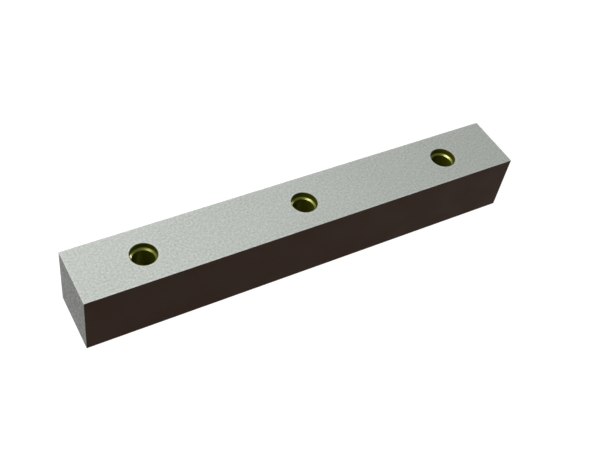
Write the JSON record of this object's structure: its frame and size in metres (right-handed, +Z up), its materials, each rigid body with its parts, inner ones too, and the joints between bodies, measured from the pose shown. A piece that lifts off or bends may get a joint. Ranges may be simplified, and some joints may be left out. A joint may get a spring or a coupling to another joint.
{
  "type": "stator knife",
  "caption": "Solid bar of tool steel with sharp ground edges and a centreline row of tapped screw holes with stepped mouths, the fixed knife of a granulator or shredder.",
  "frame": {"origin": "middle of the resting face, under the middle screw hole", "axes": "+X along the bar, +Y towards the back long side, +Z up out of the stepped mouths of the screw holes"},
  "size_m": [0.225, 0.03, 0.032],
  "materials": {
    "ground_tool_steel": "fine ground light grey steel with dark brown oxide on the long sides and a brassy oil film in the holes"
  },
  "bodies": {
    "root": {"stator_knife": "ground_tool_steel"}
  },
  "joints": []
}
